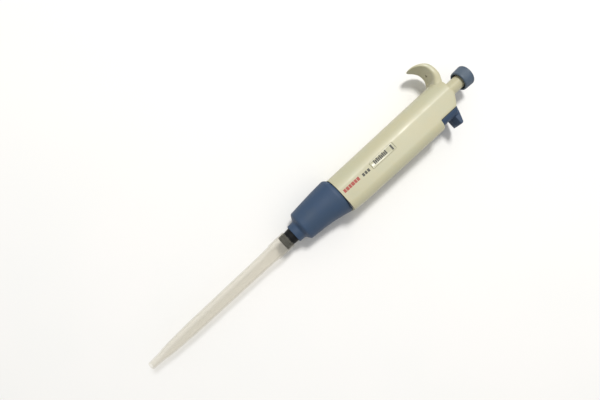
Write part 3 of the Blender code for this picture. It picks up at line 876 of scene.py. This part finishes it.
def divided(profile, low, high):
    """A knob's profile with extra points along its outer side, so that the ribs can start there."""
    result = []
    for here, there in zip(profile, profile[1:]):
        result.append(here)
        if here[1] > low + 0.5 and there[1] < high and here[0] > 8.3 and here[1] - there[1] > 1:
            count = 8
            for step in range(1, count):
                share = step / count
                result.append(tuple(a + (b - a) * share for a, b in zip(here, there)))
    return result + [profile[-1]]


# The ejector


def ledge_outline(underside, corner, z):
    """The thumb ledge's outline at a depth z, from its sloped top round to its underside."""
    points = [(316.6, -14.0)]
    points += arc((310.9, LEDGE_END + 2.0), 2.0, -18, -90, 6)
    points += arc((underside + corner, LEDGE_END + corner), corner, -90, -180, 6)
    points.append((underside, -14.0))
    return [at(station, y, z) for station, y in points]


def make_ejector_button():
    """The block in the handle's notch with the thumb ledge, sloped at the top, its edges rounded."""
    outline = clipped(handle_section(WALL + GAP), CHANNEL_Y - GAP, True)
    body = lofted("ejector_block", [(BLOCK_START, outline), (BLOCK_TOP, outline)])
    corners = [corner_block("upper_corner", side) for side in (-1, 1)]
    body = combine("ejector_block", body, corners, "DIFFERENCE")
    underside = NOTCH_START + 11.7
    levels = ((-7.6, 2.0), (-5.0, 1.0), (-2.0, 0.0), (2.0, 0.0), (5.0, 1.0), (7.6, 2.0))
    ledge = [ledge_outline(underside + rise, 2.5 - rise, z) for z, rise in levels]
    joined = combine("ejector_block", body, [skin("ledge", ledge)], "UNION")
    slope = [(316.9, -12.0), (312.4, -28.0), (322.0, -28.0), (322.0, -12.0)]
    top_cut = side_prism("slope", slope, -BEYOND - 2, BEYOND + 2)
    soft = soften(combine("ejector_block", joined, [top_cut], "DIFFERENCE"), 0.3, 5)
    hole = rod("socket", ROD_HOLE_R, BLOCK_START - 2, 306, y=ROD_Y)
    mesh = combine("thumb_button", soft, [hole], "DIFFERENCE")
    place("thumb_button", mesh, "ejector", NAVY, ["ejector_button"])


def oval(hook_half, ejector_half, half_depth, squareness):
    """An outline that reaches further to the ejector's side than to the hook's."""
    points = []
    for step in range(FINE_STEPS):
        angle = 2 * math.pi * step / FINE_STEPS
        across, up = math.cos(angle), math.sin(angle)
        half = hook_half if across > 0 else ejector_half
        y = math.copysign(half * abs(across) ** (2 / squareness), across)
        z = math.copysign(half_depth * abs(up) ** (2 / squareness), up)
        points.append((y, z))
    return points


def make_sleeve():
    """The ejector sleeve: neck, shoulder and cone, a lip round the rim, and the bore inside. Each
    size is a station, the reach to the hook's side and the ejector's, half depth and squareness."""
    shoulder = SLEEVE_END + 9.0
    sizes = [
        (SLEEVE_END, 7.5, 7.5, 7.5, 2.0),
        (SLEEVE_END + 0.4, 7.8, 7.8, 7.8, 2.0),
        (shoulder - 3.4, 8.0, 8.0, 8.0, 2.0),
        (shoulder - 2.8, 8.5, 8.5, 8.5, 2.0),
        (shoulder - 0.7, 12.6, 12.0, 12.1, 2.0),
        (shoulder + 0.3, 13.4, 12.4, 12.6, 2.0),
        (176.0, 14.4, 13.3, 13.4, 2.05),
        (187.0, 15.2, 14.6, 14.4, 2.1),
        (194.0, 15.5, 16.0, 15.0, 2.2),
        (199.0, 15.7, 17.2, 15.5, 2.3),
        (200.2, 15.4, 17.6, 15.4, 2.3),
        (201.4, 14.4, 17.8, 15.0, 2.3),
        (SLEEVE_TOP, 13.1, 17.7, 14.6, 2.3),
    ]
    bores = [
        (SLEEVE_END, 6.9),
        (shoulder - 2.0, 6.9),
        (shoulder + 1.6, 11.2),
        (176.0, 12.15),
        (192.0, 13.3),
        (195.0, 13.3),
        (196.5, 12.35),
        (SLEEVE_TOP, 12.35),
    ]
    outer = [(row[0], oval(*row[1:])) for row in eased(sizes, 0.3, 3)]
    inner = [(row[0], oval(row[1], row[1], row[1], 2.0)) for row in reversed(eased(bores, 0.8, 1))]
    rings = [[at(station, y, z) for y, z in outline] for station, outline in outer + inner]
    form = skin("sleeve", rings, True)
    socket = rod("rod_socket", ROD_HOLE_R, SLEEVE_TOP - 4, SLEEVE_TOP + 2, y=ROD_Y, segments=24)
    mesh = combine("sleeve", form, [socket], "DIFFERENCE")
    place("sleeve", mesh, "ejector", BLUE, ["ejector_sleeve"])


# The nose and the tip


def make_nose():
    """The black nose: a stepped taper with a shallow groove where the tip's rim stops."""
    cone = [
        (10.3, 174.3),
        (10.3, 167.0),
        (6.4, 163.5),
        (6.3, 158.0),
        (6.22, 151.2),
        (6.0, 151.0),
        (6.0, 150.2),
        (6.2, 150.0),
        (6.1, 144.4),
        (5.6, 143.5),
        (4.3, 143.5),
        (4.3, 150.6),
        (2.0, 151.6),
        (2.0, 167.6),
        (7.3, 167.6),
        (7.3, 174.3),
    ]
    mesh = turned("nose", rounded(cone, 0.25, 3))
    place("nose", mesh, "handle", BLACK, ["tip_cone"])


def make_tip():
    """The clear tip: a hollow taper with a collar, open at both ends."""
    collar = 133.0
    tip = [
        (7.15, TIP_TOP),
        (7.3, TIP_TOP - 0.6),
        (7.2, collar + 0.6),
        (6.6, collar),
        (6.2, 120.0),
        (6.0, 84.0),
        (5.7, 44.0),
        (5.0, 24.0),
        (4.4, 16.0),
        (3.8, 12.0),
        (3.2, 0.0),
        (2.1, 0.0),
        (2.7, 12.0),
        (3.5, 16.5),
        (4.1, 24.5),
        (4.8, 44.0),
        (5.1, 84.0),
        (5.4, 120.0),
        (5.7, collar),
        (6.5, collar + 4),
        (6.55, TIP_TOP),
    ]
    mesh = turned("clear_tip", rounded(tip, 0.35, 3), FINE_STEPS)
    place("clear_tip", mesh, "tip", CLEAR, ["disposable_tip"])


# Looks of the CAD nodes that stay

CARRIED_OVER = {
    GREY: ["base_plate", "mechanism_tube", "cylinder", "cylinder_cap", "piston", "seal_retainer"],
    BRASS: ["coupling_nut", "calibration_nut", "stop_collar"],
    STEEL: [
        "blowout_cup",
        "blowout_spring",
        "piston_screw",
        "plunger_rod",
        "spring_seat",
        "seat_clip",
        "plunger_spring",
        "ejector_rod",
        "ejector_collar",
        "ejector_spring",
    ],
    BLACK: ["stem_bush"],
    RUBBER: ["cone_o_ring", "piston_o_ring"],
    PTFE: ["piston_seal"],
    FOAM: ["nozzle_filter"],
}


def dress_nodes():
    """Give each CAD node that stays its material."""
    for material, names in CARRIED_OVER.items():
        for name in names:
            materials = NODES[name].data.materials
            materials.clear()
            materials.append(material)


# Camera, floor and light

CAMERA_PLACE = (150.5, -0.35, 333.0)
CAMERA_TURN = -42.8
VIEW_WIDTH = 480.0
VIEW_SHIFT = (0.017, 0.064)
SENSOR = 36.0


def make_camera():
    """A camera that looks straight down, with a view VIEW_WIDTH mm wide at the plunger axis."""
    data = bpy.data.cameras.new("camera")
    data.sensor_width = SENSOR
    data.lens = SENSOR * CAMERA_PLACE[2] / VIEW_WIDTH
    data.shift_x, data.shift_y = VIEW_SHIFT
    data.clip_start = 0.01
    data.clip_end = 10
    camera = bpy.data.objects.new("camera", data)
    camera.location = at(*CAMERA_PLACE)
    camera.rotation_euler = (0, 0, math.radians(CAMERA_TURN))
    SCENE.collection.objects.link(camera)
    SCENE.camera = camera


def make_floor():
    """White paper just under the part."""
    bpy.ops.mesh.primitive_plane_add(size=6, location=(0, 0, -0.0002))
    floor = bpy.context.object
    floor.name = "floor"
    look = Look("floor_paper", (0.86, 0.855, 0.85), 0.9)
    look.tint(look.spread(look.noise(90, 2), 0.4, 0.6), (0.85, 0.85, 0.845))
    look.set("Specular IOR Level", 0.1)
    floor.data.materials.append(look.material)


def add_area(name, aim, direction, distance, size, power, colour):
    """A square lamp that looks at aim from a direction, with lengths in metres."""
    data = bpy.data.lights.new(name, "AREA")
    data.energy = power
    data.size = size
    data.color = colour
    lamp = bpy.data.objects.new(name, data)
    direction = direction.normalized()
    lamp.location = aim + direction * distance
    lamp.rotation_euler = direction.to_track_quat("Z", "Y").to_euler()
    SCENE.collection.objects.link(lamp)


def make_light():
    """An even white room, and one lamp from above, from beyond the push button on the hook's side."""
    world = bpy.data.worlds.new("studio")
    world.use_nodes = True
    background = world.node_tree.nodes["Background"]
    background.inputs["Color"].default_value = (1.0, 0.995, 0.985, 1)
    background.inputs["Strength"].default_value = 0.55
    SCENE.world = world
    key = Vector((6.2, 4.2, 16.0))
    add_area("key", at(200), key, 1.6, 0.3, 19, (1.0, 0.985, 0.95))


make_handle()
make_label()
make_printed_row()
make_button()
make_ejector_button()
make_sleeve()
make_nose()
make_tip()
dress_nodes()
SCENE.view_settings.view_transform = "Standard"
make_camera()
make_floor()
make_light()
